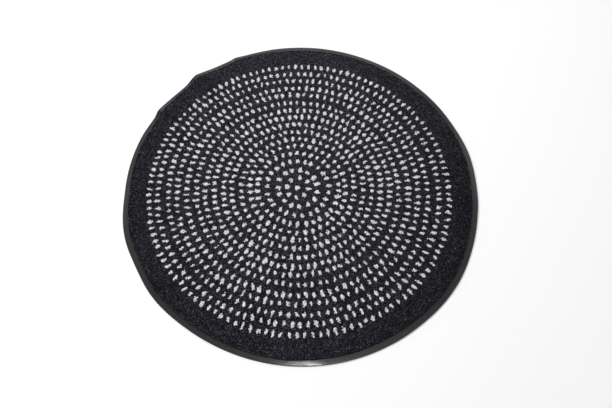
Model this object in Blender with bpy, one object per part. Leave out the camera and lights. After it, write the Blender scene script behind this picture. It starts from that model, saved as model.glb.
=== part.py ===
"""A round washable rug, lying on the floor.

A disc of short cut pile sits on a thin rubber backing, whose bare border shows all round.
The middle lies flat. At the back left the rim stands up in three ripples.
Metres, +Z up. The origin is on the floor under the middle, and azimuth 0 is +X, 90 is +Y.
"""

import math
from collections import namedtuple

import bmesh
import bpy

# Driving sizes
MEAN_RIM_RADIUS = 0.4245
BORDER_WIDTH = 0.014
RUBBER_THICKNESS = 0.002
PILE_HEIGHT = 0.006
GAP = 0.0003

# The edges are a little rounded
RUBBER_EDGE_ROUND = 0.0005
PILE_EDGE_ROUND = 0.0022
PILE_EDGE_STEPS = 2

# Inside this radius the rug lies flat on the floor
FLAT_RADIUS = 0.320

# Each row is one ripple of the rim: where its crest is, how high the rim stands there,
# how far it spreads on either side of the crest, and how far in from the rim it runs
Ripple = namedtuple("Ripple", "azimuth rise spread_before spread_after reach")
RIPPLES = (
    Ripple(116.0, 0.0039, 4.8, 3.0, 0.060),
    Ripple(132.1, 0.0130, 8.9, 5.5, 0.095),
    Ripple(150.8, 0.0075, 6.8, 2.7, 0.070),
)
CREST_ROUNDING = 0.12
CREST_SHARPNESS = 1.85

# Each row is one stretch where the rim bows out past its mean radius, or is drawn in
Swell = namedtuple("Swell", "azimuth size spread")
SWELLS = (
    Swell(-162.0, 0.0063, 16.0),
    Swell(-150.0, 0.0016, 14.0),
    Swell(-139.0, 0.0056, 16.0),
    Swell(-125.0, 0.0010, 12.0),
    Swell(-44.0, 0.0008, 10.0),
    Swell(-33.0, 0.0026, 17.0),
    Swell(-10.0, -0.0009, 8.0),
    Swell(15.0, 0.0024, 14.0),
    Swell(75.0, -0.0006, 25.0),
    Swell(106.0, -0.0006, 8.0),
    Swell(121.3, -0.0012, 7.0),
    Swell(139.8, -0.0019, 7.0),
    Swell(154.7, -0.0019, 7.0),
)

# Each row is one stretch where the pile comes closer to the rim, or stays further from it
PILE_DRIFTS = (
    Swell(-148.0, 0.0015, 30.0),
    Swell(-50.0, -0.0012, 40.0),
    Swell(112.0, 0.0024, 18.0),
    Swell(140.0, 0.0034, 26.0),
    Swell(172.0, 0.0028, 26.0),
)

# The mesh is fine only where the rim is rippled
FINE_SECTOR_START = 105.0
FINE_SECTOR_STEPS = 56
FINE_STEP = 0.95
COARSE_STEPS = 88
RINGS_OUTSIDE_FLAT = 8

# A face that leans more than this, as its normal's height, is part of a wall
WALL_NORMAL_HEIGHT = 0.5
SHARP_EDGE_DEGREES = 35.0

RUBBER_COLOUR = (0.045, 0.045, 0.048, 1.0)
RUBBER_ROUGHNESS = 0.55
PILE_COLOUR = (0.018, 0.019, 0.023, 1.0)
PILE_ROUGHNESS = 0.95


def degrees_between(azimuth, other):
    """The signed angle from other to azimuth, from -180 to 180 degrees."""
    return (azimuth - other + 180.0) % 360.0 - 180.0


def smooth_step(share):
    """Rise from 0 to 1, level at both ends."""
    share = min(max(share, 0.0), 1.0)
    return share * share * (3.0 - 2.0 * share)


def crest_profile(share):
    """Fall from 1 at a ripple's crest, slightly rounded, to 0 at its foot."""
    share = min(abs(share), 1.0)
    longest = math.hypot(1.0, CREST_ROUNDING) - CREST_ROUNDING
    rounded = (math.hypot(share, CREST_ROUNDING) - CREST_ROUNDING) / longest
    return (1.0 - rounded) ** CREST_SHARPNESS


def swollen(radius, swells, azimuth):
    """A round outline's radius at an azimuth in degrees, with its swells."""
    for swell in swells:
        share = abs(degrees_between(azimuth, swell.azimuth)) / swell.spread
        radius += swell.size * (1.0 - smooth_step(share))
    return radius


def rim_radius(azimuth):
    """The rubber's outer radius at an azimuth in degrees."""
    return swollen(MEAN_RIM_RADIUS, SWELLS, azimuth)


def pile_radius(azimuth):
    """The pile's outer radius at an azimuth in degrees."""
    return rim_radius(azimuth) - BORDER_WIDTH + swollen(0.0, PILE_DRIFTS, azimuth)


def lift(azimuth, radius):
    """How far the rug's underside stands off the floor at a place."""
    height = 0.0
    for ripple in RIPPLES:
        turn = degrees_between(azimuth, ripple.azimuth)
        spread = ripple.spread_before if turn < 0.0 else ripple.spread_after
        inner_end = rim_radius(azimuth) - ripple.reach
        climb = smooth_step((radius - inner_end) / ripple.reach)
        height += ripple.rise * crest_profile(turn / spread) * climb
    return height


def station_azimuths():
    """The azimuths of the mesh's spokes, close together in the rippled sector."""
    fine = [FINE_SECTOR_START + FINE_STEP * i for i in range(FINE_SECTOR_STEPS)]
    coarse_start = FINE_SECTOR_START + FINE_STEP * FINE_SECTOR_STEPS
    coarse_step = (360.0 - FINE_STEP * FINE_SECTOR_STEPS) / COARSE_STEPS
    return fine + [coarse_start + coarse_step * i for i in range(COARSE_STEPS)]


def place(azimuth, radius, base):
    """A point of a sheet whose underside is base above the rug's underside."""
    angle = math.radians(azimuth)
    return (radius * math.cos(angle), radius * math.sin(angle), base + lift(azimuth, radius))


def grow_ring(bm, boundary, share, outline, base):
    """Extrude the sheet's boundary to a share of the way from the flat middle to the rim."""
    grown = bmesh.ops.extrude_edge_only(bm, edges=boundary)["geom"]
    corners = {item for item in grown if isinstance(item, bmesh.types.BMVert)}
    for corner in corners:
        azimuth = math.degrees(math.atan2(corner.co.y, corner.co.x))
        reach = outline(azimuth) - FLAT_RADIUS
        corner.co = place(azimuth, FLAT_RADIUS + share * reach, base)
    edges = [item for item in grown if isinstance(item, bmesh.types.BMEdge)]
    return [edge for edge in edges if all(corner in corners for corner in edge.verts)]


def underside(bm, outline, base):
    """Lay out a sheet's lower face: a flat disc, then rings that follow the ripples."""
    corners = [bm.verts.new(place(azimuth, FLAT_RADIUS, base)) for azimuth in station_azimuths()]
    disc = bm.faces.new(corners)
    boundary = list(disc.edges)
    for ring in range(1, RINGS_OUTSIDE_FLAT + 1):
        boundary = grow_ring(bm, boundary, ring / RINGS_OUTSIDE_FLAT, outline, base)


def is_upright(face):
    """Whether a face is part of the sheet's outer wall."""
    return abs(face.normal.z) < WALL_NORMAL_HEIGHT


def thicken(bm, thickness):
    """Extrude the sheet straight up into a closed solid."""
    bmesh.ops.recalc_face_normals(bm, faces=bm.faces)
    raised = bmesh.ops.extrude_face_region(bm, geom=bm.faces[:])["geom"]
    corners = [item for item in raised if isinstance(item, bmesh.types.BMVert)]
    bmesh.ops.translate(bm, vec=(0.0, 0.0, thickness), verts=corners)
    bmesh.ops.recalc_face_normals(bm, faces=bm.faces)
    return corners


def round_edge(bm, corners, width, steps):
    """Round the edges where the outer wall meets the face that holds the given corners."""
    bm.normal_update()
    held = set(corners)
    edges = [
        edge
        for edge in bm.edges
        if all(corner in held for corner in edge.verts)
        and sum(is_upright(face) for face in edge.link_faces) == 1
    ]
    bmesh.ops.bevel(bm, geom=edges, offset=width, segments=steps, profile=0.5, affect="EDGES")


def finish_material(name, colour, roughness):
    """A plain finish for one piece."""
    finish = bpy.data.materials.new(name)
    finish.use_nodes = True
    shader = finish.node_tree.nodes["Principled BSDF"]
    shader.inputs["Base Color"].default_value = colour
    shader.inputs["Roughness"].default_value = roughness
    shader.inputs["Metallic"].default_value = 0.0
    return finish


def add_piece(name, bm, finish):
    """Turn a bmesh into one named object with its finish."""
    mesh = bpy.data.meshes.new(name)
    bm.to_mesh(mesh)
    bm.free()
    mesh.materials.append(finish)
    mesh.shade_smooth()
    mesh.set_sharp_from_angle(angle=math.radians(SHARP_EDGE_DEGREES))
    piece = bpy.data.objects.new(name, mesh)
    bpy.context.scene.collection.objects.link(piece)
    return piece


def rubber_backing():
    """The moulded rubber sheet, out to the rug's rim."""
    bm = bmesh.new()
    underside(bm, rim_radius, 0.0)
    top = thicken(bm, RUBBER_THICKNESS)
    round_edge(bm, top, RUBBER_EDGE_ROUND, 1)
    return add_piece("rubber_backing", bm, finish_material("rubber", RUBBER_COLOUR, RUBBER_ROUGHNESS))


def pile_cloth():
    """The disc of cut pile, inside the bare rubber border."""
    bm = bmesh.new()
    underside(bm, pile_radius, RUBBER_THICKNESS + GAP)
    top = thicken(bm, PILE_HEIGHT)
    round_edge(bm, top, PILE_EDGE_ROUND, PILE_EDGE_STEPS)
    return add_piece("pile_cloth", bm, finish_material("pile", PILE_COLOUR, PILE_ROUGHNESS))


def clear_scene():
    """Remove every object of the scene."""
    for item in list(bpy.data.objects):
        bpy.data.objects.remove(item, do_unlink=True)


clear_scene()
rubber_backing()
pile_cloth()
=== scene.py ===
"""The looks of a round washable rug: cut pile with rings of pale dots, on a bordered rubber sheet.

Metres, +Z up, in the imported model's frame: the origin is on the floor under the rug's middle,
azimuth 0 is +X and azimuth 90 is +Y, the back. The rubber sheet and the cloth that carries the
pile are modelled as thin sheets, and the pile as rows of separate cut tufts.
"""

from __future__ import annotations

import logging
import math
from collections.abc import Callable, Mapping, Sequence
from dataclasses import dataclass
from enum import Enum, IntEnum
from typing import Any

import bpy
import numpy as np
from mathutils import Matrix, Vector

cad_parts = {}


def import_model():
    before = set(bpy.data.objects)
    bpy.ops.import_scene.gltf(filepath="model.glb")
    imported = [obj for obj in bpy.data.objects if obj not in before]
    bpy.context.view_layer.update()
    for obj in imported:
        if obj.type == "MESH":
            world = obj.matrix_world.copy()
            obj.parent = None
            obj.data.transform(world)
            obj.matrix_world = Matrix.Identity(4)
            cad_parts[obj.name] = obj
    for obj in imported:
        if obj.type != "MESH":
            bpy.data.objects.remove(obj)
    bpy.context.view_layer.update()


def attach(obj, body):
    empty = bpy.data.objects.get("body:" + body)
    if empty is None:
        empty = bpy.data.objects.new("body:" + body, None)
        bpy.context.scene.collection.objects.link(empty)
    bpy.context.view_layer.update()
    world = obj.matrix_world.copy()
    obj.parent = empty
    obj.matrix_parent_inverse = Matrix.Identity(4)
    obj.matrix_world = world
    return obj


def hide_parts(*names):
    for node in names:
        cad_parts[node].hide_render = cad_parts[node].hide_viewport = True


LOG = logging.getLogger("round_rug")

Array = np.ndarray
Colour = tuple[float, float, float]

BAKE_MAP = "OFBake"
BODY = "root"
MILLIMETRE = 0.001


class Node(Enum):
    """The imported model's nodes."""

    RUBBER = "rubber_backing"
    PILE = "pile_cloth"


class Slot(Enum):
    """The record's material slots."""

    RUBBER = "rubber"
    PILE = "pile"


class Mark(Enum):
    """The attributes that the tufts carry for their material."""

    DYE = "dye"
    TONE = "tone"
    TIP = "tip"


class MixSocket(IntEnum):
    """The Mix node's sockets, by number, when it mixes colours."""

    SHARE = 0
    LOW = 6
    HIGH = 7
    RESULT = 2


def smooth_step(share: Array) -> Array:
    """Rise from 0 to 1, level at both ends.

    Args:
        share: The way along the rise, which is held between 0 and 1.

    Returns:
        The height at each share.
    """
    held = np.clip(share, 0.0, 1.0)
    return held * held * (3.0 - 2.0 * held)


def degrees_between(azimuth: Array, other: float) -> Array:
    """Give the signed turn from one azimuth to others.

    Args:
        azimuth: The azimuths in degrees.
        other: The azimuth to turn from, in degrees.

    Returns:
        The turns, from -180 to 180 degrees.
    """
    return (azimuth - other + 180.0) % 360.0 - 180.0


@dataclass(frozen=True)
class Ripple:
    """One ripple of the rim, by its crest's azimuth, its height, its spread and its reach."""

    azimuth: float
    rise: float
    spread_before: float
    spread_after: float
    reach: float


@dataclass(frozen=True)
class Swell:
    """One stretch where the rim bows out past its mean radius, or is drawn in."""

    azimuth: float
    size: float
    spread: float


@dataclass(frozen=True)
class Wave:
    """A slow wave over the floor, by its radians a metre along x and y, and its start."""

    along_x: float
    along_y: float
    start: float

    def at(self, plan: Array) -> Array:
        """Give the wave's height, from -1 to 1, at places seen from above."""
        return np.sin(self.along_x * plan[:, 0] + self.along_y * plan[:, 1] + self.start)


@dataclass(frozen=True)
class Flutter:
    """One even wave of the border round the rim, by how many crests it has, and its start."""

    crests: float
    start: float

    def at(self, turn: Array) -> Array:
        """Give the wave's height, from -1 to 1, at azimuths in radians."""
        return np.sin(self.crests * turn + self.start)


@dataclass(frozen=True)
class Lie:
    """How the rug lies: its uneven outline, and the ripples in which its rim stands up."""

    mean_rim: float = 0.4245
    border: float = 0.0140
    flat_radius: float = 0.320
    rubber: float = 0.002
    pile: float = 0.006
    gap: float = 0.0003
    crest_rounding: float = 0.12
    crest_sharpness: float = 1.85
    flutter_rise: float = 0.0007
    flutter_reach: float = 0.022
    flutter_width: float = 5.0
    flutters: tuple[Flutter, ...] = (Flutter(5.0, 0.4), Flutter(9.0, 2.0), Flutter(16.0, 4.1))
    ripples: tuple[Ripple, ...] = (
        Ripple(116.0, 0.0039, 4.8, 3.0, 0.060),
        Ripple(132.1, 0.0130, 8.9, 5.5, 0.095),
        Ripple(150.8, 0.0075, 6.8, 2.7, 0.070),
    )
    swells: tuple[Swell, ...] = (
        Swell(-162.0, 0.0063, 16.0),
        Swell(-150.0, 0.0016, 14.0),
        Swell(-139.0, 0.0056, 16.0),
        Swell(-125.0, 0.0010, 12.0),
        Swell(-44.0, 0.0008, 10.0),
        Swell(-33.0, 0.0026, 17.0),
        Swell(-10.0, -0.0009, 8.0),
        Swell(15.0, 0.0024, 14.0),
        Swell(75.0, -0.0006, 25.0),
        Swell(106.0, -0.0006, 8.0),
        Swell(121.3, -0.0012, 7.0),
        Swell(139.8, -0.0019, 7.0),
        Swell(154.7, -0.0019, 7.0),
    )
    pile_drifts: tuple[Swell, ...] = (
        Swell(-148.0, 0.0015, 30.0),
        Swell(-92.0, 0.0018, 12.0),
        Swell(-50.0, -0.0012, 40.0),
        Swell(112.0, 0.0024, 18.0),
        Swell(140.0, 0.0034, 26.0),
        Swell(172.0, 0.0028, 26.0),
    )

    def swollen(self, azimuth: Array, radius: float, swells: tuple[Swell, ...]) -> Array:
        """Add swells to a round outline.

        Args:
            azimuth: The azimuths in degrees.
            radius: The outline's own radius.
            swells: Where it bows out or is drawn in.

        Returns:
            The radius at each azimuth.
        """
        uneven = np.full_like(azimuth, radius)
        for swell in swells:
            share = np.abs(degrees_between(azimuth, swell.azimuth)) / swell.spread
            uneven += swell.size * (1.0 - smooth_step(share))
        return uneven

    def rim_radius(self, azimuth: Array) -> Array:
        """Give the rubber's outer radius at azimuths in degrees."""
        return self.swollen(azimuth, self.mean_rim, self.swells)

    def pile_radius(self, azimuth: Array) -> Array:
        """Give the pile's outer radius, inside a border that is wider in some places.

        Args:
            azimuth: The azimuths in degrees.

        Returns:
            The radius at each azimuth.
        """
        inner_edge = self.rim_radius(azimuth) - self.border
        return inner_edge + self.swollen(azimuth, 0.0, self.pile_drifts)

    def crest(self, share: Array) -> Array:
        """Fall from 1 at a ripple's slightly rounded crest to 0 at its foot.

        Args:
            share: The way from crest to foot.

        Returns:
            The height at each share.
        """
        longest = math.hypot(1.0, self.crest_rounding) - self.crest_rounding
        held = np.minimum(np.abs(share), 1.0)
        rounded = (np.hypot(held, self.crest_rounding) - self.crest_rounding) / longest
        return np.maximum(1.0 - rounded, 0.0) ** self.crest_sharpness

    def flutter(self, azimuth: Array, inset: Array) -> Array:
        """Give the small lift of the border where it doesn't lie quite down.

        Args:
            azimuth: The azimuths in degrees.
            inset: How far inside the rim each place is.

        Returns:
            The lift at each place.
        """
        turn = np.radians(azimuth)
        wave = sum(flutter.at(turn) for flutter in self.flutters)
        near_rim = smooth_step(1.0 - inset / self.flutter_reach)
        return self.flutter_rise * smooth_step(0.5 + wave / self.flutter_width) * near_rim

    def lift(self, plan: Array) -> Array:
        """Give the height of the rug's underside over the floor.

        Args:
            plan: The places seen from above, one x and y a row.

        Returns:
            The height at each place.
        """
        azimuth = np.degrees(np.arctan2(plan[:, 1], plan[:, 0]))
        inset = self.rim_radius(azimuth) - np.hypot(plan[:, 0], plan[:, 1])
        height = self.flutter(azimuth, inset)
        for ripple in self.ripples:
            turn = degrees_between(azimuth, ripple.azimuth)
            spread = np.where(turn < 0.0, ripple.spread_before, ripple.spread_after)
            climb = smooth_step(1.0 - inset / ripple.reach)
            height += ripple.rise * self.crest(turn / spread) * climb
        return height

    def normal(self, plan: Array) -> Array:
        """Give the upward direction of the rug's face.

        Args:
            plan: The places seen from above, one x and y a row.

        Returns:
            One unit vector a row.
        """
        step = MILLIMETRE
        along_x = (self.lift(plan + (step, 0.0)) - self.lift(plan - (step, 0.0))) / (2.0 * step)
        along_y = (self.lift(plan + (0.0, step)) - self.lift(plan - (0.0, step))) / (2.0 * step)
        up = np.stack([-along_x, -along_y, np.ones(len(plan))], axis=1)
        return up / np.linalg.norm(up, axis=1, keepdims=True)


@dataclass(frozen=True)
class Ring:
    """One ring of dots, by its radius, how many dots it has, and their length and width."""

    radius: float
    dots: int
    length: float
    width: float


@dataclass(frozen=True)
class DotRings:
    """The pattern dyed in the pile: rings of ragged pale dots, none quite in its place."""

    centre: tuple[float, float] = (-0.0099, -0.0020)
    outer_slip: float = 0.0048
    slip_power: float = 9.0
    length_scatter: float = 0.0016
    width_scatter: float = 0.0008
    ring_scatter: float = 0.0008
    turn_scatter: float = 0.062
    tilt_scatter: float = 0.16
    out_of_round: float = 0.0014
    lobes: tuple[int, ...] = (2, 3, 4, 5)
    lobe_depth: float = 0.10
    softness: float = 0.14
    reach: float = 0.013
    seed: int = 11
    rings: tuple[Ring, ...] = (
        Ring(0.0001, 1, 0.0130, 0.0120),
        Ring(0.0270, 8, 0.0115, 0.0100),
        Ring(0.0485, 15, 0.0116, 0.0102),
        Ring(0.0735, 25, 0.0125, 0.0084),
        Ring(0.0965, 34, 0.0127, 0.0080),
        Ring(0.1160, 39, 0.0120, 0.0080),
        Ring(0.1360, 49, 0.0120, 0.0075),
        Ring(0.1575, 59, 0.0120, 0.0075),
        Ring(0.1785, 67, 0.0120, 0.0075),
        Ring(0.2005, 76, 0.0136, 0.0077),
        Ring(0.2210, 82, 0.0125, 0.0070),
        Ring(0.2430, 92, 0.0120, 0.0065),
        Ring(0.2675, 96, 0.0135, 0.0075),
        Ring(0.2890, 104, 0.0130, 0.0070),
        Ring(0.3120, 116, 0.0120, 0.0065),
        Ring(0.3355, 120, 0.0130, 0.0068),
        Ring(0.3585, 130, 0.0129, 0.0068),
    )

    def ring_centre(self, ring: Ring) -> Array:
        """Give a ring's middle, because the outermost rings have slipped to one side.

        Args:
            ring: The ring.

        Returns:
            Its middle, as x and y.
        """
        share = ring.radius / self.rings[-1].radius
        return np.array(self.centre) + (self.outer_slip * share**self.slip_power, 0.0)

    def coverage(self, depth: Array) -> Array:
        """Turn the depth inside a dot into how pale the yarn is."""
        return smooth_step(0.5 + depth / self.softness)

    def depth(self, plan: Array) -> Array:
        """Say how far inside a dot each place is.

        Args:
            plan: The places seen from above, one x and y a row.

        Returns:
            0 on a dot's edge, up to 1 inside it and down to -1 outside, as shares of its size.
        """
        rng = np.random.default_rng(self.seed)
        inside = np.full(len(plan), -1.0)
        for ring in self.rings:
            self.add_ring(ring, rng, plan, inside)
        return inside

    def add_ring(self, ring: Ring, rng: np.random.Generator, plan: Array, inside: Array) -> None:
        """Work out one ring's dots and raise the places inside them.

        Args:
            ring: The ring.
            rng: The source of the dots' unevenness.
            plan: The places seen from above, one x and y a row.
            inside: The depth of each place inside a dot so far, which is changed.
        """
        count = ring.dots
        middle = self.ring_centre(ring)
        turns = np.arange(count) + self.turn_scatter * rng.standard_normal(count)
        turns = 2.0 * math.pi * (turns / count + rng.random())
        radii = ring.radius + self.ring_scatter * rng.standard_normal(count)
        radii += self.out_of_round * np.sin(2.0 * (turns + math.pi * rng.random()))
        long_half = 0.5 * (ring.length + self.length_scatter * rng.standard_normal(count))
        short_half = 0.5 * (ring.width + self.width_scatter * rng.standard_normal(count))
        tilts = turns + self.tilt_scatter * rng.standard_normal(count)
        depths = self.lobe_depth * rng.random((count, len(self.lobes)))
        phases = 2.0 * math.pi * rng.random((count, len(self.lobes)))
        away = np.abs(np.hypot(*(plan - middle).T) - ring.radius)
        near = np.flatnonzero(away < self.reach)
        offset = plan[near] - middle
        for dot in range(count):
            across = offset - radii[dot] * np.array([math.cos(turns[dot]), math.sin(turns[dot])])
            close = np.flatnonzero(np.abs(across).max(axis=1) < self.reach)
            along = across[close] @ (math.cos(tilts[dot]), math.sin(tilts[dot]))
            beside = across[close] @ (-math.sin(tilts[dot]), math.cos(tilts[dot]))
            bearing = np.arctan2(beside, along)
            edge = np.ones(len(close))
            for lobe, depth, phase in zip(self.lobes, depths[dot], phases[dot], strict=True):
                edge += depth * np.cos(lobe * bearing + phase)
            distance = np.hypot(along / long_half[dot], beside / short_half[dot])
            held = near[close]
            inside[held] = np.maximum(inside[held], edge - distance)


class Wire:
    """A shader socket on which Python's operators do sums."""

    def __init__(self, kit: NodeKit, socket: bpy.types.NodeSocket) -> None:
        """Hold a node's output socket.

        Args:
            kit: The material's node kit.
            socket: The output socket.
        """
        self.kit = kit
        self.socket = socket

    def __add__(self, other: Wire | float) -> Wire:
        """Add a wire or number."""
        return self.kit.maths("ADD", self, other)

    def __radd__(self, other: float) -> Wire:
        """Add this wire to a number."""
        return self.kit.maths("ADD", other, self)

    def __sub__(self, other: Wire | float) -> Wire:
        """Take a wire or number away."""
        return self.kit.maths("SUBTRACT", self, other)

    def __rsub__(self, other: float) -> Wire:
        """Take this wire from a number."""
        return self.kit.maths("SUBTRACT", other, self)

    def __mul__(self, other: Wire | float) -> Wire:
        """Multiply by a wire or number."""
        return self.kit.maths("MULTIPLY", self, other)

    def __rmul__(self, other: float) -> Wire:
        """Multiply a number by this wire."""
        return self.kit.maths("MULTIPLY", other, self)


@dataclass(frozen=True)
class Contrast:
    """How a noise is made harder: it is stretched, lowered, and held over a least value."""

    stretch: float
    lowered: float
    least: float = 0.0


class NodeKit:
    """Builds one material's nodes."""

    def __init__(self, name: str) -> None:
        """Start a material with a Principled BSDF.

        Args:
            name: The material's name.
        """
        self.material = bpy.data.materials.new(name)
        self.material.use_nodes = True
        self.tree = self.material.node_tree
        self.shader = self.tree.nodes["Principled BSDF"]

    def connect(self, socket: bpy.types.NodeSocket, value: Any) -> None:
        """Give an input socket its value or its link.

        Args:
            socket: The input socket.
            value: A wire to link, or the value to set.
        """
        if isinstance(value, Wire):
            self.tree.links.new(value.socket, socket)
        else:
            socket.default_value = value

    def node(
        self,
        kind: str,
        settings: Mapping[str, Any] | None = None,
        inputs: Mapping[str | int, Any] | None = None,
        output: str | int = 0,
    ) -> Wire:
        """Add a node.

        Args:
            kind: The node's type.
            settings: The node's own properties, set before its sockets.
            inputs: The values or wires of its input sockets.
            output: The output socket to give.

        Returns:
            The output socket's wire.
        """
        made = self.tree.nodes.new(kind)
        for name, value in (settings or {}).items():
            setattr(made, name, value)
        for name, value in (inputs or {}).items():
            self.connect(made.inputs[name], value)
        return Wire(self, made.outputs[output])

    def maths(self, operation: str, *values: Wire | float) -> Wire:
        """Add a Math node.

        Args:
            operation: What it does.
            values: Its values or wires, in order.

        Returns:
            The result's wire.
        """
        return self.node("ShaderNodeMath", {"operation": operation}, dict(enumerate(values)))

    def mix(self, low: Wire | Colour, high: Wire | Colour, share: Wire | float) -> Wire:
        """Mix two colours.

        Args:
            low: The colour at share 0.
            high: The colour at share 1.
            share: How much of the high colour there is.

        Returns:
            The mixed colour's wire.
        """
        inputs = {
            MixSocket.SHARE: share,
            MixSocket.LOW: low if isinstance(low, Wire) else (*low, 1.0),
            MixSocket.HIGH: high if isinstance(high, Wire) else (*high, 1.0),
        }
        return self.node("ShaderNodeMix", {"data_type": "RGBA"}, inputs, MixSocket.RESULT)

    def harden(self, noise: Wire, by: Contrast) -> Wire:
        """Raise a noise's contrast."""
        return self.maths("MAXIMUM", by.stretch * noise - by.lowered, by.least)

    def at_most_one(self, value: Wire) -> Wire:
        """Hold a value at 1 or less."""
        return self.maths("MINIMUM", value, 1.0)

    def mark(self, mark: Mark) -> Wire:
        """Read one of the tufts' attributes."""
        return self.node("ShaderNodeAttribute", {"attribute_name": mark.value}, output="Fac")

    def place(self, scale: Sequence[float] = (1.0, 1.0, 1.0), turn: float = 0.0) -> Wire:
        """Give Object coordinates, scaled and turned about the vertical.

        Args:
            scale: The scale along each axis.
            turn: The turn in radians.

        Returns:
            The coordinates' wire.
        """
        plain = self.node("ShaderNodeTexCoord", output="Object")
        inputs = {"Vector": plain, "Rotation": (0.0, 0.0, turn), "Scale": tuple(scale)}
        return self.node("ShaderNodeMapping", {}, inputs)

    def noise(self, place: Wire, scale: float, detail: float = 2.0) -> Wire:
        """Add a noise from 0 to 1.

        Args:
            place: The coordinates' wire.
            scale: How many blotches there are a metre.
            detail: How many finer layers it has.

        Returns:
            The noise's wire.
        """
        inputs = {"Vector": place, "Scale": scale, "Detail": detail}
        return self.node("ShaderNodeTexNoise", {}, inputs)

    def ridges(self, place: Wire, scale: float, waver: float, waver_scale: float = 3.0) -> Wire:
        """Add parallel ridges from 0 to 1.

        Args:
            place: The coordinates' wire, across whose X the ridges run.
            scale: How many ridges there are in about 0.3 metre.
            waver: How far they waver from straight.
            waver_scale: How often they waver.

        Returns:
            The ridges' wire.
        """
        settings = {"wave_type": "BANDS", "bands_direction": "X", "wave_profile": "SIN"}
        inputs = {"Vector": place, "Scale": scale, "Distortion": waver, "Detail Scale": waver_scale}
        return self.node("ShaderNodeTexWave", settings, inputs, "Fac")

    def bump(self, height: Wire, strength: float, distance: float) -> Wire:
        """Turn a height into a bent normal.

        Args:
            height: The height's wire, from 0 to 1.
            strength: How much of the bend is used.
            distance: How high 1 is, in metres.

        Returns:
            The normal's wire.
        """
        inputs = {"Height": height, "Strength": strength, "Distance": distance}
        return self.node("ShaderNodeBump", {}, inputs)

    def finish(self, **sockets: Any) -> bpy.types.Material:
        """Set the shader's sockets.

        Args:
            sockets: Their values or wires, with _ for the blanks in their names.

        Returns:
            The finished material.
        """
        for name, value in sockets.items():
            self.connect(self.shader.inputs[name.replace("_", " ")], value)
        return self.material


@dataclass(frozen=True)
class RubberFinish:
    """Dark grey moulded rubber, with the hatch that the press cloth left in it.

    A slick skin catches the light on the ribs of the hatch, where specks of it are left.
    """

    colour: Colour = (0.005, 0.005, 0.005)
    worn: Colour = (0.010, 0.010, 0.0098)
    worn_in_clouds: float = 0.8
    worn_on_ribs: float = 0.2
    roughness: float = 0.26
    cloud_roughness: float = 0.16
    cloud_scale: float = 38.0
    detail: float = 3.0
    specular: float = 0.36
    skin_roughness: float = 0.085
    skin_edge: float = 1.3
    speck_scale: float = 420.0
    specks: Contrast = Contrast(3.2, 0.8)
    rib_turn: float = math.radians(-42.0)
    rib_scale: float = 52.0
    rib_waver: float = 1.2
    rib_share: float = 0.7
    cross_scale: float = 190.0
    cross_waver: float = 0.8
    cross_share: float = 0.15
    grain_scale: float = 2600.0
    grain_share: float = 0.15
    bump: float = 0.8
    rib_height: float = 0.00010

    def material(self) -> bpy.types.Material:
        """Build the rubber's material.

        Returns:
            The material.
        """
        kit = NodeKit("moulded_rubber")
        cross_turn = self.rib_turn + math.pi / 2.0
        ribs = kit.ridges(kit.place(turn=self.rib_turn), self.rib_scale, self.rib_waver)
        cross = kit.ridges(kit.place(turn=cross_turn), self.cross_scale, self.cross_waver)
        grain = kit.noise(kit.place(), self.grain_scale, self.detail)
        clouds = kit.noise(kit.place(), self.cloud_scale, self.detail)
        specks = kit.harden(kit.noise(kit.place(), self.speck_scale, 1.0), self.specks)
        worn = clouds * self.worn_in_clouds + ribs * self.worn_on_ribs
        height = self.rib_share * ribs + self.cross_share * cross + self.grain_share * grain
        return kit.finish(
            Base_Color=kit.mix(self.colour, self.worn, worn),
            Roughness=self.roughness + self.cloud_roughness * clouds,
            Specular_IOR_Level=self.specular,
            Coat_Weight=kit.at_most_one(kit.maths("POWER", ribs, self.skin_edge) * specks),
            Coat_Roughness=self.skin_roughness,
            Normal=kit.bump(height, self.bump, self.rib_height),
        )


@dataclass(frozen=True)
class GroundFinish:
    """The woven cloth in which the tufts are stitched, dyed as dark as the pile."""

    colour: Colour = (0.010, 0.010, 0.012)
    raised: Colour = (0.020, 0.020, 0.024)
    roughness: float = 0.9
    thread_scale: float = 160.0
    thread_waver: float = 0.6
    bump: float = 0.8
    thread_height: float = 0.0003

    def material(self) -> bpy.types.Material:
        """Build the ground cloth's material.

        Returns:
            The material.
        """
        kit = NodeKit("ground_cloth")
        warp = kit.ridges(kit.place(), self.thread_scale, self.thread_waver)
        weft = kit.ridges(kit.place(turn=math.pi / 2.0), self.thread_scale, self.thread_waver)
        weave = kit.maths("MAXIMUM", warp, weft)
        return kit.finish(
            Base_Color=kit.mix(self.colour, self.raised, weave),
            Roughness=self.roughness,
            Normal=kit.bump(weave, self.bump, self.thread_height),
        )


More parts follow.
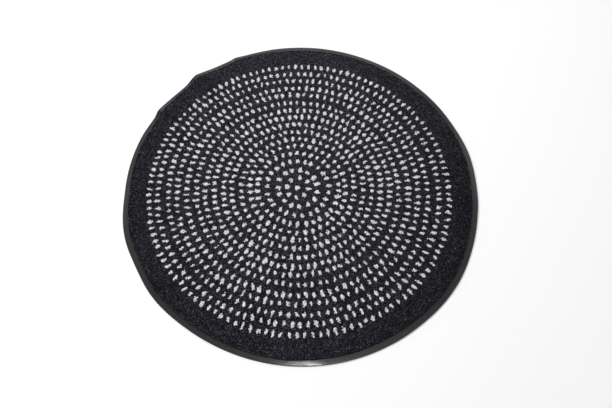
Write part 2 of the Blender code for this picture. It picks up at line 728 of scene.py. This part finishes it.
@dataclass(frozen=True)
class PileFinish:
    """Cut nylon yarn: anthracite, and warm off-white where the dots are.

    The anthracite is a mixture of nearly black fibres and bright specks, cool or warm, which are
    partly bright fibres and partly painted glints. The off-white is painted darker and bluer where the
    tone is low, which is partly random tone and partly painted shade, and each tuft is painted darker
    towards its root as painted shade.
    """

    dark: Colour = (0.0020, 0.0020, 0.0026)
    # Bright specks: partly bright fibres, partly painted glints of light on the fibres
    glint_and_fibre_cool: Colour = (0.092, 0.122, 0.162)
    glint_and_fibre_warm: Colour = (0.146, 0.110, 0.142)
    pale: Colour = (0.885, 0.852, 0.826)
    # The off-white painted darker and bluer where the tone is low: partly random tone, partly painted
    # shade
    pale_dim_tone_and_shade: Colour = (0.355, 0.345, 0.375)
    pale_least: float = 0.1
    pale_by_tone: float = 1.6
    pale_by_fibres: float = 0.5
    # Painted shade: near-black mixed into the yarn towards each tuft's root, for the shade between the
    # tufts
    root: Colour = (0.004, 0.004, 0.005)
    unshaded_share_at_root: float = 0.7
    roughness: float = 0.9
    specular: float = 0.03
    sheen: float = 0.10
    sheen_roughness: float = 0.3
    mottle_scale: float = 540.0
    mottle: Contrast = Contrast(9.5, 3.9, 0.04)
    tint_scale: float = 410.0
    tint: Contrast = Contrast(4.0, 1.5)
    fibre_scale: float = 2600.0
    fibre_squash: float = 0.35
    fibres: Contrast = Contrast(3.0, 0.5, 0.1)
    bump: float = 0.7
    fibre_height: float = 0.0008

    def material(self) -> bpy.types.Material:
        """Build the pile's material.

        Returns:
            The material.
        """
        kit = NodeKit("cut_pile")
        tone = kit.mark(Mark.TONE)
        along_yarn = kit.place(scale=(1.0, 1.0, self.fibre_squash))
        fibres = kit.noise(along_yarn, self.fibre_scale)
        mottle = kit.harden(kit.noise(kit.place(), self.mottle_scale), self.mottle)
        tint = kit.harden(kit.noise(kit.place(), self.tint_scale, 1.0), self.tint)
        # Painted glints: bright specks mixed into the near-black fibres, partly real bright fibres
        glint_and_fibre = kit.mix(self.glint_and_fibre_cool, self.glint_and_fibre_warm, tint)
        painted_glint_and_fibres = kit.at_most_one(tone * mottle * kit.harden(fibres, self.fibres))
        dark = kit.mix(self.dark, glint_and_fibre, painted_glint_and_fibres)
        paleness = self.pale_least + self.pale_by_tone * tone + self.pale_by_fibres * fibres
        # Off-white painted darker and bluer where the tone is low: partly random tone, partly painted
        # shade
        pale = kit.mix(self.pale_dim_tone_and_shade, self.pale, kit.at_most_one(paleness))
        yarn = kit.mix(dark, pale, kit.mark(Mark.DYE))
        # Painted shade at the roots: less of the yarn's own colour towards each tuft's root
        unshaded_share = self.unshaded_share_at_root + (1.0 - self.unshaded_share_at_root) * kit.mark(Mark.TIP)
        return kit.finish(
            Base_Color=kit.mix(self.root, yarn, unshaded_share),
            Roughness=self.roughness,
            Normal=kit.bump(fibres, self.bump, self.fibre_height),
            Sheen_Weight=self.sheen,
            Sheen_Roughness=self.sheen_roughness,
            Specular_IOR_Level=self.specular,
        )


@dataclass(frozen=True)
class FloorFinish:
    """Plain pale studio floor."""

    colour: Colour = (0.93, 0.93, 0.93)
    roughness: float = 0.7

    def material(self) -> bpy.types.Material:
        """Build the floor's material."""
        kit = NodeKit("studio_floor")
        return kit.finish(Base_Color=(*self.colour, 1.0), Roughness=self.roughness)


def deselect_all() -> None:
    """Deselect everything, so that an operator acts on the new piece alone."""
    bpy.ops.object.select_all(action="DESELECT")


def mesh_points(mesh: bpy.types.Mesh) -> Array:
    """Read a mesh's points.

    Args:
        mesh: The mesh.

    Returns:
        One x, y and z a row.
    """
    flat = np.empty(3 * len(mesh.vertices))
    mesh.vertices.foreach_get("co", flat)
    return flat.reshape(-1, 3)


@dataclass(frozen=True)
class RoundSheet:
    """A thin round sheet that follows the rug's lie."""

    name: str
    lie: Lie
    outline: Callable[[Array], Array]
    base: float
    thickness: float
    edge_round: float
    spokes: int = 360
    inner_radii: tuple[float, ...] = (0.05, 0.13, 0.22, 0.32)
    outer_shares: tuple[float, ...] = (*np.linspace(0.06, 0.925, 15), 0.983, 1.0)
    edge_steps: int = 3
    edge_turn: float = math.radians(60.0)
    crease_turn: float = math.radians(50.0)

    def nominal_radii(self) -> list[float]:
        """Give the rings' radii before they follow the outline.

        Returns:
            The radii, from the middle out.
        """
        flat = self.lie.flat_radius
        span = self.lie.mean_rim - flat
        return [*self.inner_radii, *(flat + share * span for share in self.outer_shares)]

    def draw(self) -> bpy.types.Object:
        """Draw the flat disc: a small filled circle, whose edge is extruded ring by ring.

        Returns:
            The disc.
        """
        radii = self.nominal_radii()
        deselect_all()
        bpy.ops.mesh.primitive_circle_add(vertices=self.spokes, radius=radii[0], fill_type="TRIFAN")
        disc = bpy.context.object
        disc.name = disc.data.name = self.name
        bpy.ops.object.mode_set(mode="EDIT")
        bpy.ops.mesh.select_all(action="SELECT")
        bpy.ops.mesh.region_to_loop()
        for inner, outer in zip(radii, radii[1:]):
            growth = outer / inner
            bpy.ops.mesh.extrude_edges_move()
            bpy.ops.transform.resize(value=(growth, growth, 1.0), center_override=(0.0, 0.0, 0.0))
        bpy.ops.mesh.select_all(action="SELECT")
        bpy.ops.mesh.normals_make_consistent(inside=False)
        bpy.ops.object.mode_set(mode="OBJECT")
        if disc.data.polygons[0].normal.z < 0.0:
            disc.data.flip_normals()
        return disc

    def settle(self, disc: bpy.types.Object) -> None:
        """Move the disc's points out to the uneven outline and up on the ripples.

        Args:
            disc: The flat disc.
        """
        points = mesh_points(disc.data)
        azimuth = np.degrees(np.arctan2(points[:, 1], points[:, 0]))
        nominal = np.hypot(points[:, 0], points[:, 1])
        span = self.lie.mean_rim - self.lie.flat_radius
        share = np.maximum(nominal - self.lie.flat_radius, 0.0) / span
        stretch = self.outline(azimuth) - self.lie.mean_rim
        scale = 1.0 + share * stretch / np.maximum(nominal, MILLIMETRE)
        points[:, :2] *= scale[:, None]
        points[:, 2] = self.base + self.lie.lift(points[:, :2])
        disc.data.vertices.foreach_set("co", points.ravel())
        disc.data.update()

    def thicken(self, disc: bpy.types.Object) -> None:
        """Give the sheet its thickness and its rounded edges.

        Args:
            disc: The settled sheet.
        """
        wall = disc.modifiers.new("wall", "SOLIDIFY")
        wall.thickness = self.thickness
        wall.offset = 1.0
        bpy.ops.object.modifier_apply(modifier=wall.name)
        edge = disc.modifiers.new("edge", "BEVEL")
        edge.width = self.edge_round
        edge.segments = self.edge_steps
        edge.limit_method = "ANGLE"
        edge.angle_limit = self.edge_turn
        bpy.ops.object.modifier_apply(modifier=edge.name)
        bpy.ops.object.shade_smooth_by_angle(angle=self.crease_turn)

    def build(self, material: bpy.types.Material) -> bpy.types.Object:
        """Make the sheet.

        Args:
            material: Its finish.

        Returns:
            The finished sheet.
        """
        disc = self.draw()
        self.settle(disc)
        self.thicken(disc)
        disc.data.materials.append(material)
        return disc


@dataclass(frozen=True)
class Rooted:
    """Where the tufts stand, their row and stitch, and how far their ends splay."""

    plan: Array
    column: Array
    stitch: Array
    splay: Array

    def part(self, chosen: Array) -> Rooted:
        """Take some of the tufts.

        Args:
            chosen: Which ones.

        Returns:
            Those tufts.
        """
        fields = (self.plan, self.column, self.stitch, self.splay)
        return Rooted(*(values[chosen] for values in fields))


@dataclass(frozen=True)
class TuftedPile:
    """The cut pile: rows of tufts, each a short flared brush of yarn, in a few joined pieces."""

    lie: Lie
    pattern: DotRings
    base: float
    pieces: int = 5
    seed: int = 5

    # The stitched rows, and the tufts along the cut edge
    gauge: float = 0.0030
    stitch: float = 0.0028
    scatter: float = 0.13
    rim_inset: float = 0.0029
    rim_pitch: float = 0.0023
    rim_splay: float = 0.0013

    # One tuft
    sides: int = 4
    root_radius: float = 0.0009
    tip_radius: float = 0.00235
    tip_scatter: float = 0.15
    pale_bulk: float = 0.10
    end_scatter: float = 0.00022
    crown: float = 0.0014
    crown_scatter: float = 0.2
    crown_overshoot: float = 0.0005
    sink: float = 0.0003

    # How the ends lean: each its own way, and together where the pile was brushed and trodden
    lean: float = 0.00045
    nap: float = 0.0006
    nap_along: tuple[Wave, Wave] = (Wave(11.0, 7.0, 0.6), Wave(-9.0, 23.0, 2.0))
    nap_aside: tuple[Wave, Wave] = (Wave(-6.0, 13.0, 1.7), Wave(27.0, 12.0, 0.3))

    # The dye, how the yarn's tone varies by tuft and by corner, and the painted light and shade over
    # the rug
    dye_bleed: float = 0.15
    dye_scatter: float = 0.11
    tone_spread: float = 0.4
    fibre_spread: float = 0.95
    # Painted light and shade over the rug: darker to the right, to the sides and to the front, a
    # little lighter at the back
    painted_light_right: float = -0.11
    painted_light_sides: float = -0.53
    painted_light_back: float = 0.15
    painted_light_ends: float = -0.12
    brightest: float = 5.5

    # One tuft's cell in the bake's map, from 0 to 1: its middle, its two rings and its foot
    cell_middle: tuple[float, float] = (0.5, 0.54)
    cell_outer: float = 0.44
    cell_inner: float = 0.27
    cell_foot_sides: tuple[float, float] = (0.06, 0.94)
    cell_foot_ends: tuple[float, float] = (0.02, 0.07)

    def rows(self, rng: np.random.Generator) -> Rooted:
        """Lay out the stitched rows inside the pile's edge.

        Args:
            rng: The source of the rows' unevenness.

        Returns:
            The tufts of the rows.
        """
        reach = self.lie.mean_rim
        columns = np.arange(-math.ceil(reach / self.gauge), math.ceil(reach / self.gauge) + 1)
        stitches = np.arange(-math.ceil(reach / self.stitch), math.ceil(reach / self.stitch) + 1)
        column, stitch = (grid.ravel() for grid in np.meshgrid(columns, stitches, indexing="ij"))
        plan = np.stack([column * self.gauge, (stitch + 0.5 * (column % 2)) * self.stitch], axis=1)
        plan = plan + self.scatter * self.stitch * rng.standard_normal(plan.shape)
        azimuth = np.degrees(np.arctan2(plan[:, 1], plan[:, 0]))
        room = self.lie.pile_radius(azimuth) - np.hypot(plan[:, 0], plan[:, 1])
        kept = room > self.rim_inset + 0.5 * self.gauge
        splay = np.zeros((len(plan), 2))
        return Rooted(plan, column, stitch, splay).part(kept)

    def rim(self, rng: np.random.Generator, first_column: int) -> Rooted:
        """Lay out the tufts that follow the cut edge, splayed outwards.

        Args:
            rng: The source of their unevenness.
            first_column: The bake map's first free column.

        Returns:
            The tufts of the edge.
        """
        count = round(2.0 * math.pi * self.lie.pile_radius(np.zeros(1))[0] / self.rim_pitch)
        turns = (np.arange(count) + self.scatter * rng.standard_normal(count)) / count
        azimuth = 360.0 * turns - 180.0
        radius = self.lie.pile_radius(azimuth) - self.rim_inset
        radius += self.scatter * self.stitch * rng.standard_normal(count)
        outwards = np.stack([np.cos(np.radians(azimuth)), np.sin(np.radians(azimuth))], axis=1)
        plan = radius[:, None] * outwards
        stitch = np.round(plan[:, 1] / self.stitch).astype(int)
        column = np.where(plan[:, 0] < 0.0, -first_column, first_column)
        return Rooted(plan, column, stitch, self.rim_splay * outwards)

    def nap_lean(self, plan: Array) -> Array:
        """Give the slow drift in which the pile has been brushed and trodden.

        Args:
            plan: The places seen from above, one x and y a row.

        Returns:
            The lean of each tuft's end, as x and y.
        """
        along = sum(wave.at(plan) for wave in self.nap_along)
        aside = sum(wave.at(plan) for wave in self.nap_aside)
        return 0.5 * self.nap * np.stack([along, aside], axis=1)

    def shape(self, tufts: Rooted, rng: np.random.Generator) -> tuple[Array, Array]:
        """Model the tufts: a root ring, a wider uneven end and a crown in its middle.

        Args:
            tufts: Where they stand.
            rng: The source of their unevenness.

        Returns:
            The points, as tufts by corners by x, y and z, and each tuft's end seen from above.
        """
        count = len(tufts.plan)
        normal = self.lie.normal(tufts.plan)
        root = np.column_stack([tufts.plan, self.base - self.sink + self.lie.lift(tufts.plan)])
        drift = self.nap_lean(tufts.plan) + tufts.splay
        drift = drift + self.lean * rng.standard_normal((count, 2))
        carried = self.base - self.lie.rubber - self.lie.gap - self.sink
        height = self.lie.pile - carried - self.crown + self.crown_overshoot
        end = root + height * normal + np.column_stack([drift, np.zeros(count)])
        corner = np.arange(self.sides)[None, :] / self.sides
        around = 2.0 * math.pi * (corner + rng.random((count, 1)))
        ring = np.stack([np.cos(around), np.sin(around), np.zeros_like(around)], axis=2)
        bulk = 1.0 + self.pale_bulk * self.pattern.coverage(self.pattern.depth(tufts.plan))
        flare = 1.0 + self.tip_scatter * rng.standard_normal((count, self.sides, 1))
        flare = self.tip_radius * bulk[:, None, None] * flare
        rise = self.end_scatter * rng.standard_normal((count, self.sides))
        points = np.empty((count, 2 * self.sides + 1, 3))
        points[:, : self.sides] = root[:, None] + self.root_radius * ring
        points[:, self.sides : -1] = end[:, None] + flare * ring
        points[:, self.sides : -1, 2] += rise
        raised = 1.0 - self.crown_scatter + 2.0 * self.crown_scatter * rng.random((count, 1))
        points[:, -1] = end + self.crown * raised * normal
        return points, end[:, :2]

    def faces(self) -> list[tuple[int, ...]]:
        """Give one tuft's faces: its sides, its end and its foot.

        Returns:
            The corners of each face, turning left seen from outside.
        """
        sides = self.sides
        after = [(corner + 1) % sides for corner in range(sides)]
        walls = [(i, after[i], sides + after[i], sides + i) for i in range(sides)]
        ends = [(sides + i, sides + after[i], 2 * sides) for i in range(sides)]
        return [*walls, *ends, tuple(reversed(range(sides)))]

    def cell_map(self) -> Array:
        """Unfold one four-sided tuft in its cell of the bake's map, its foot in a strip below.

        Returns:
            The place of each face corner, as u and v from 0 to 1.
        """
        sides = self.sides
        turn = 2.0 * math.pi * (np.arange(sides) + 0.5) / sides
        ring = np.stack([np.cos(turn), np.sin(turn)], axis=1) / math.cos(math.pi / sides)
        middle = np.array(self.cell_middle)
        laid = np.vstack([middle + self.cell_outer * ring, middle + self.cell_inner * ring, middle])
        left, right = self.cell_foot_sides
        low, high = self.cell_foot_ends
        foot = ((right, low), (right, high), (left, high), (left, low))
        *shown, base = self.faces()
        places = [laid[corner] for face in shown for corner in face]
        return np.array([*places, *foot[: len(base)]])

    def bake_cells(self, tufts: Rooted) -> tuple[Array, int, int]:
        """Fold a strip of rows into a square block of cells.

        Args:
            tufts: The strip's tufts.

        Returns:
            Each tuft's cell, as column and row, and the block's width and height in cells.
        """
        column = np.unique(tufts.column, return_inverse=True)[1]
        stitch = tufts.stitch - tufts.stitch.min()
        wide, high = int(column.max()) + 1, int(stitch.max()) + 1
        folds = max(1, round(math.sqrt(high / wide)))
        fold = math.ceil(high / folds)
        cells = np.stack([column + wide * (stitch // fold), stitch % fold], axis=1)
        return cells, wide * folds, fold

    def mesh(self, name: str, points: Array, tufts: Rooted) -> bpy.types.Mesh:
        """Join the tufts into one mesh with its bake map.

        Args:
            name: The mesh's name.
            points: The tufts' points.
            tufts: The tufts.

        Returns:
            The mesh.
        """
        count, corners = points.shape[:2]
        faces = self.faces()
        lengths = np.tile([len(face) for face in faces], count)
        one = np.concatenate(faces)
        loops = (one[None, :] + corners * np.arange(count)[:, None]).ravel()
        mesh = bpy.data.meshes.new(name)
        mesh.vertices.add(count * corners)
        mesh.vertices.foreach_set("co", points.ravel())
        mesh.loops.add(len(loops))
        mesh.loops.foreach_set("vertex_index", loops)
        mesh.polygons.add(len(lengths))
        mesh.polygons.foreach_set("loop_start", np.concatenate([[0], np.cumsum(lengths)[:-1]]))
        cells, wide, high = self.bake_cells(tufts)
        places = (cells[:, None, :] + self.cell_map()[None]) / (wide, high)
        mesh.update(calc_edges=True)
        mesh.uv_layers.new(name=BAKE_MAP).uv.foreach_set("vector", places.ravel())
        mesh.shade_smooth()
        return mesh

    def drift(self, share: Array) -> Array:
        """Give the painted light and shade over the rug, a slow change of tone, lightest in the middle
        and at the back.

        Args:
            share: The places seen from above, as shares of the rug's radius.

        Returns:
            The painted light at each place, as a factor on the tone, where 1 is the middle's.
        """
        x, y = share.T
        tone = 1.0 + self.painted_light_right * x + self.painted_light_sides * x**2
        return tone + self.painted_light_back * y + self.painted_light_ends * y**2

    def mark(
        self, mesh: bpy.types.Mesh, points: Array, ends: Array, rng: np.random.Generator
    ) -> None:
        """Give the tufts their dye, tone and height marks: the tone carries the painted light and
        shade over the rug, and the height mark places the painted shade at the roots.

        Args:
            mesh: The joined mesh.
            points: The tufts' points.
            ends: Each tuft's end seen from above.
            rng: The source of their unevenness.
        """
        count, corners = points.shape[:2]
        # The height mark, 0 at the root and 1 at the end, places the painted shade at the roots
        tip = np.zeros((count, corners))
        tip[:, self.sides :] = 1.0
        tops = points[:, self.sides :, :2].reshape(-1, 2)
        slip = self.dye_scatter * rng.standard_normal((count, 1))
        own = self.pattern.depth(ends)[:, None] + slip
        each = self.pattern.depth(tops).reshape(count, -1) + slip
        dye = np.repeat(self.pattern.coverage(own), corners, axis=1)
        dye[:, self.sides :] = self.pattern.coverage(own + self.dye_bleed * (each - own))
        # Painted light and shade over the rug, multiplied into each tuft's random tone
        drift = self.drift(ends / self.lie.mean_rim)[:, None]
        spread = self.tone_spread * rng.standard_normal((count, 1))
        spread = spread + self.fibre_spread * rng.standard_normal((count, corners))
        tone = np.clip(drift * np.exp(spread) / self.brightest, 0.0, 1.0)
        marks = {Mark.TIP: tip, Mark.DYE: dye, Mark.TONE: tone}
        for mark, values in marks.items():
            attribute = mesh.attributes.new(mark.value, "FLOAT", "POINT")
            attribute.data.foreach_set("value", values.ravel())

    def build(self, material: bpy.types.Material) -> list[bpy.types.Object]:
        """Make the pile's pieces, each a strip of rows.

        Args:
            material: The yarn's finish.

        Returns:
            The pieces, from left to right.
        """
        rng = np.random.default_rng(self.seed)
        rows = self.rows(rng)
        edge = self.rim(rng, int(rows.column.max()) + 1)
        plan = np.vstack([rows.plan, edge.plan])
        tufts = Rooted(
            plan,
            np.concatenate([rows.column, edge.column]),
            np.concatenate([rows.stitch, edge.stitch]),
            np.vstack([rows.splay, edge.splay]),
        )
        limits = np.quantile(plan[:, 0], np.linspace(0.0, 1.0, self.pieces + 1))
        strip = np.clip(np.searchsorted(limits, plan[:, 0], side="right") - 1, 0, self.pieces - 1)
        made = []
        for index in range(self.pieces):
            part = tufts.part(strip == index)
            points, ends = self.shape(part, rng)
            mesh = self.mesh(f"pile_rows_{index + 1}", points, part)
            self.mark(mesh, points, ends, rng)
            mesh.materials.append(material)
            piece = bpy.data.objects.new(mesh.name, mesh)
            bpy.context.scene.collection.objects.link(piece)
            made.append(piece)
        return made


@dataclass(frozen=True)
class Viewpoint:
    """The photograph's camera: where it stands over the rug, its lens and how it is turned."""

    height_angle: float = math.radians(63.376)
    distance: float = 1.5306
    focal_pixels: float = 633.2
    frame_pixels: float = 612.0
    sensor_mm: float = 36.0
    pan_right: float = 0.0070
    pan_up: float = -0.0243
    roll: float = 0.0384
    nearest: float = 0.01

    def build(self) -> bpy.types.Object:
        """Set up the camera.

        Returns:
            The camera.
        """
        away = Vector((0.0, -math.cos(self.height_angle), math.sin(self.height_angle)))
        stand = self.distance * away
        ahead = -stand.normalized()
        right = Vector((1.0, 0.0, 0.0))
        above = right.cross(ahead)
        ahead = ahead + math.tan(self.pan_right) * right + math.tan(self.pan_up) * above
        ahead.normalize()
        right = ahead.cross(Vector((0.0, 0.0, 1.0))).normalized()
        above = right.cross(ahead)
        rolled_right = math.cos(self.roll) * right + math.sin(self.roll) * above
        rolled_up = math.cos(self.roll) * above - math.sin(self.roll) * right
        data = bpy.data.cameras.new("studio_camera")
        data.sensor_width = self.sensor_mm
        data.lens = self.focal_pixels / self.frame_pixels * self.sensor_mm
        data.clip_start = self.nearest
        camera = bpy.data.objects.new(data.name, data)
        axes = Matrix((rolled_right, rolled_up, -ahead)).transposed().to_4x4()
        camera.matrix_world = Matrix.Translation(stand) @ axes
        bpy.context.scene.collection.objects.link(camera)
        bpy.context.scene.camera = camera
        return camera


@dataclass(frozen=True)
class Softbox:
    """One area light: its place, width, depth, power, aim, and whether gloss mirrors it."""

    name: str
    place: tuple[float, float, float]
    width: float
    depth: float
    power: float
    aim: tuple[float, float, float] = (0.0, 0.0, 0.0)
    mirrored: bool = True

    def build(self) -> bpy.types.Object:
        """Hang the light.

        Returns:
            The light.
        """
        data = bpy.data.lights.new(self.name, "AREA")
        data.shape = "RECTANGLE"
        data.size = self.width
        data.size_y = self.depth
        data.energy = self.power
        lamp = bpy.data.objects.new(self.name, data)
        lamp.visible_glossy = self.mirrored
        turned = (Vector(self.aim) - Vector(self.place)).to_track_quat("-Z", "Y")
        lamp.matrix_world = Matrix.Translation(self.place) @ turned.to_matrix().to_4x4()
        bpy.context.scene.collection.objects.link(lamp)
        return lamp


@dataclass(frozen=True)
class Studio:
    """The plain pale floor, the soft light around the rug, and small lamps for its glint."""

    floor_size: float = 14.0
    sky_strength: float = 0.42
    lamps: tuple[Softbox, ...] = (
        Softbox("left_softbox", (-4.5, 0.5, 3.2), 3.2, 3.2, 222.0, mirrored=False),
        Softbox("back_softbox", (-0.3, 4.6, 3.2), 3.6, 3.6, 60.0),
        Softbox("back_left_softbox", (-2.5, 2.2, 3.0), 2.0, 2.0, 42.0),
        Softbox("right_softbox", (2.16, 2.07, 3.47), 1.6, 1.4, 13.0),
        Softbox("ceiling_lamp", (0.075, 0.045, 2.4), 0.062, 0.064, 2.9, (0.075, 0.045, 0.0)),
        Softbox("middle_ceiling_lamp", (-0.005, 0.040, 2.4), 0.088, 0.070, 0.52, (-0.005, 0.040, 0.0)),
        Softbox("left_ceiling_lamp", (-0.085, 0.038, 2.4), 0.070, 0.075, 0.12, (-0.085, 0.038, 0.0)),
        Softbox("right_ceiling_lamp", (0.250, 0.066, 2.4), 0.090, 0.090, 0.60, (0.250, 0.066, 0.0)),
    )

    def build(self) -> None:
        """Lay the floor, hang the lamps and light the room."""
        deselect_all()
        bpy.ops.mesh.primitive_plane_add(size=self.floor_size)
        floor = bpy.context.object
        floor.name = floor.data.name = "studio_floor"
        floor.data.materials.append(FloorFinish().material())
        for lamp in self.lamps:
            lamp.build()
        world = bpy.data.worlds.new("studio_air")
        world.use_nodes = True
        air = world.node_tree.nodes["Background"]
        air.inputs["Color"].default_value = (1.0, 1.0, 1.0, 1.0)
        air.inputs["Strength"].default_value = self.sky_strength
        bpy.context.scene.world = world
        bpy.context.scene.view_settings.view_transform = "Standard"


@dataclass(frozen=True)
class RoundRug:
    """The whole rug, from the floor up."""

    lie: Lie = Lie()
    pattern: DotRings = DotRings()
    rubber_edge: float = 0.0006
    ground_thickness: float = 0.0008
    ground_inset: float = 0.0015
    ground_edge: float = 0.0002
    ground_spokes: int = 240

    def rubber(self) -> bpy.types.Object:
        """Make the rubber sheet.

        Returns:
            The sheet.
        """
        sheet = RoundSheet(
            name="rubber_sheet",
            lie=self.lie,
            outline=self.lie.rim_radius,
            base=0.0,
            thickness=self.lie.rubber,
            edge_round=self.rubber_edge,
        )
        piece = sheet.build(RubberFinish().material())
        self.place(piece, Node.RUBBER, Slot.RUBBER)
        return piece

    def pile(self, rubber: bpy.types.Object) -> list[bpy.types.Object]:
        """Make the cloth that carries the pile, and the pile's tufts.

        Args:
            rubber: The sheet that it lies on; not used.

        Returns:
            The cloth and the pieces of pile.
        """
        base = self.lie.rubber + self.lie.gap
        ground = RoundSheet(
            name="ground_cloth",
            lie=self.lie,
            outline=lambda azimuth: self.lie.pile_radius(azimuth) - self.ground_inset,
            base=base,
            thickness=self.ground_thickness,
            edge_round=self.ground_edge,
            spokes=self.ground_spokes,
        )
        cloth = ground.build(GroundFinish().material())
        tufts = TuftedPile(self.lie, self.pattern, base + self.ground_thickness)
        strips = tufts.build(PileFinish().material())
        for piece in (cloth, *strips):
            self.place(piece, Node.PILE, Slot.PILE)
        return [cloth, *strips]

    def place(self, piece: bpy.types.Object, node: Node, slot: Slot) -> None:
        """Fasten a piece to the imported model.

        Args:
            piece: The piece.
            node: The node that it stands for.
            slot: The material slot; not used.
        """
        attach(piece, BODY)
        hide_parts(node.value)
        LOG.info("%s: %d faces, stands for %s", piece.name, len(piece.data.polygons), node.value)


def corners(box: tuple[Any, Any]) -> list[list[float]]:
    """Turn a box's corners into plain lists of numbers."""
    return [[float(value) for value in corner] for corner in box]


def main() -> None:
    """Build the studio and the rug."""
    logging.basicConfig(level=logging.INFO, format="%(name)s: %(message)s")
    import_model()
    Viewpoint().build()
    Studio().build()
    rug = RoundRug()
    rubber = rug.rubber()
    rug.pile(rubber)
    bpy.context.view_layer.update()


if __name__ == "__main__":
    main()
